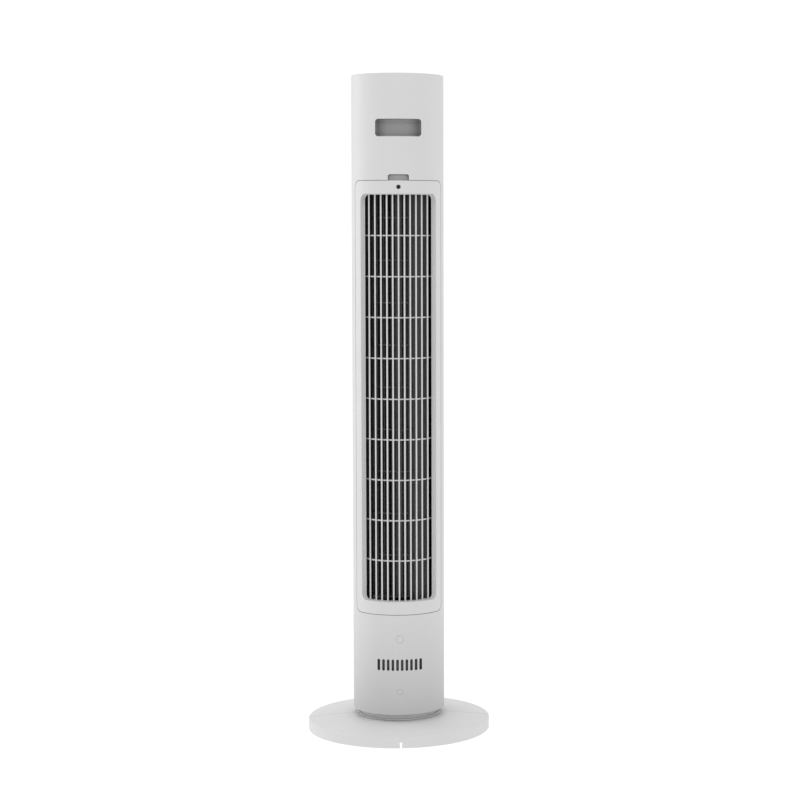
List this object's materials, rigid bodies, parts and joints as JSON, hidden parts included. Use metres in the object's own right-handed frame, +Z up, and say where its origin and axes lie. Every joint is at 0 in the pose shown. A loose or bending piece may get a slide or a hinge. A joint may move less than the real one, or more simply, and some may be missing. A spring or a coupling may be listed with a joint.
{
  "type": "tower fan",
  "caption": "Slim cylindrical tower fan on a round base: turning column, cross-flow impeller, rear intake grille, handle recess, top keys.",
  "frame": {"origin": "on the floor under the feet, on the column's axis", "axes": "+Z up along the column; the air intake, handle recess and cord outlet face -Y, the air outlet faces +Y"},
  "size_m": [0.311, 0.311, 1.115],
  "materials": {
    "white_shell": "fine matte texture, off-white",
    "grey_plastic": "plain moulded",
    "dark_duct": "plain moulded, dark grey",
    "dark_impeller": "plain moulded, near black",
    "bearing_plastic": "smooth, natural acetal",
    "key_plastic": "smooth satin",
    "smoked_lens": "smoked, glossy",
    "soft_rubber": "matte",
    "ballast_steel": "zinc plated sheet",
    "screw_steel": "zinc plated",
    "shaft_steel": "ground",
    "bronze_bush": "sintered bronze",
    "motor_can": "plated sheet",
    "copper_winding": "enamelled copper wire",
    "circuit_board": "green solder mask",
    "board_part": "black moulded",
    "wire_cover": "smooth black sleeve"
  },
  "bodies": {
    "base": {"base_cover_rear": "white_shell", "base_cover_front": "white_shell", "base_bottom_plate": "grey_plastic", "base_weight": "ballast_steel", "rubber_feet": "soft_rubber", "base_screws": "screw_steel", "neck_collar": "white_shell", "swivel_spindle": "grey_plastic", "spindle_screws": "screw_steel", "thrust_washer": "bearing_plastic", "retaining_ring": "ballast_steel", "swing_gear": "bearing_plastic", "cord_clamp": "grey_plastic", "cord_clamp_screws": "screw_steel"},
    "column": {"turntable": "grey_plastic", "support_struts": "grey_plastic", "rear_shell": "white_shell", "front_shell": "white_shell", "intake_grille": "white_shell", "intake_grille_screw": "screw_steel", "outlet_grille": "white_shell", "handle_cup": "white_shell", "pull_pocket": "white_shell", "screw_plugs": "white_shell", "vent_guard": "white_shell", "chassis_screws": "screw_steel", "duct_floor": "dark_duct", "duct_ceiling": "dark_duct", "duct_scroll": "dark_duct", "duct_tongue": "dark_duct", "bearing_bush": "bronze_bush", "bearing_rubber": "soft_rubber", "motor_bracket": "ballast_steel", "motor_grommets": "soft_rubber", "motor_screws": "screw_steel", "motor_can_upper": "motor_can", "motor_can_lower": "motor_can", "motor_stator": "ballast_steel", "motor_coils": "copper_winding", "motor_bearings": "bronze_bush", "swing_bracket": "ballast_steel", "swing_motor": "motor_can", "power_board": "circuit_board", "power_board_parts": "board_part", "wire_harness": "wire_cover", "top_panel": "white_shell", "display_lens": "smoked_lens", "control_board": "circuit_board", "tact_switches": "board_part"},
    "impeller": {"impeller": "dark_impeller", "impeller_hub": "soft_rubber", "hub_set_screw": "screw_steel", "top_journal": "shaft_steel", "motor_shaft": "shaft_steel", "motor_rotor": "motor_can"},
    "pinion": {"swing_pinion": "bearing_plastic"},
    "power_key": {"power_button": "key_plastic"},
    "speed_key": {"speed_button": "key_plastic"},
    "swing_key": {"swing_button": "key_plastic"},
    "timer_key": {"timer_button": "key_plastic"}
  },
  "joints": [
    {"name": "oscillation", "type": "hinge", "parent": "base", "child": "column", "pos_m": [0, 0, 0.04], "axis": [0, 0, 1], "range_deg": [-75, 75]},
    {"name": "impeller_spin", "type": "hinge", "parent": "column", "child": "impeller", "pos_m": [0, 0, 0.5], "axis": [0, 0, 1], "continuous": true},
    {"name": "pinion_spin", "type": "hinge", "parent": "column", "child": "pinion", "pos_m": [-0.0376, 0, 0.0635], "axis": [0, 0, 1], "range_deg": [-300, 300]},
    {"name": "power_press", "type": "slide", "parent": "column", "child": "power_key", "axis": [0, 0, -1], "range_m": [0, 0.0004], "stiffness_N_per_m": 2500, "springref_m": -0.0002},
    {"name": "speed_press", "type": "slide", "parent": "column", "child": "speed_key", "axis": [0, 0, -1], "range_m": [0, 0.0004], "stiffness_N_per_m": 2500, "springref_m": -0.0002},
    {"name": "swing_press", "type": "slide", "parent": "column", "child": "swing_key", "axis": [0, 0, -1], "range_m": [0, 0.0004], "stiffness_N_per_m": 2500, "springref_m": -0.0002},
    {"name": "timer_press", "type": "slide", "parent": "column", "child": "timer_key", "axis": [0, 0, -1], "range_m": [0, 0.0004], "stiffness_N_per_m": 2500, "springref_m": -0.0002}
  ],
  "couplings": [
    {"joint": "pinion_spin", "follows": "oscillation", "ratio": 4}
  ]
}
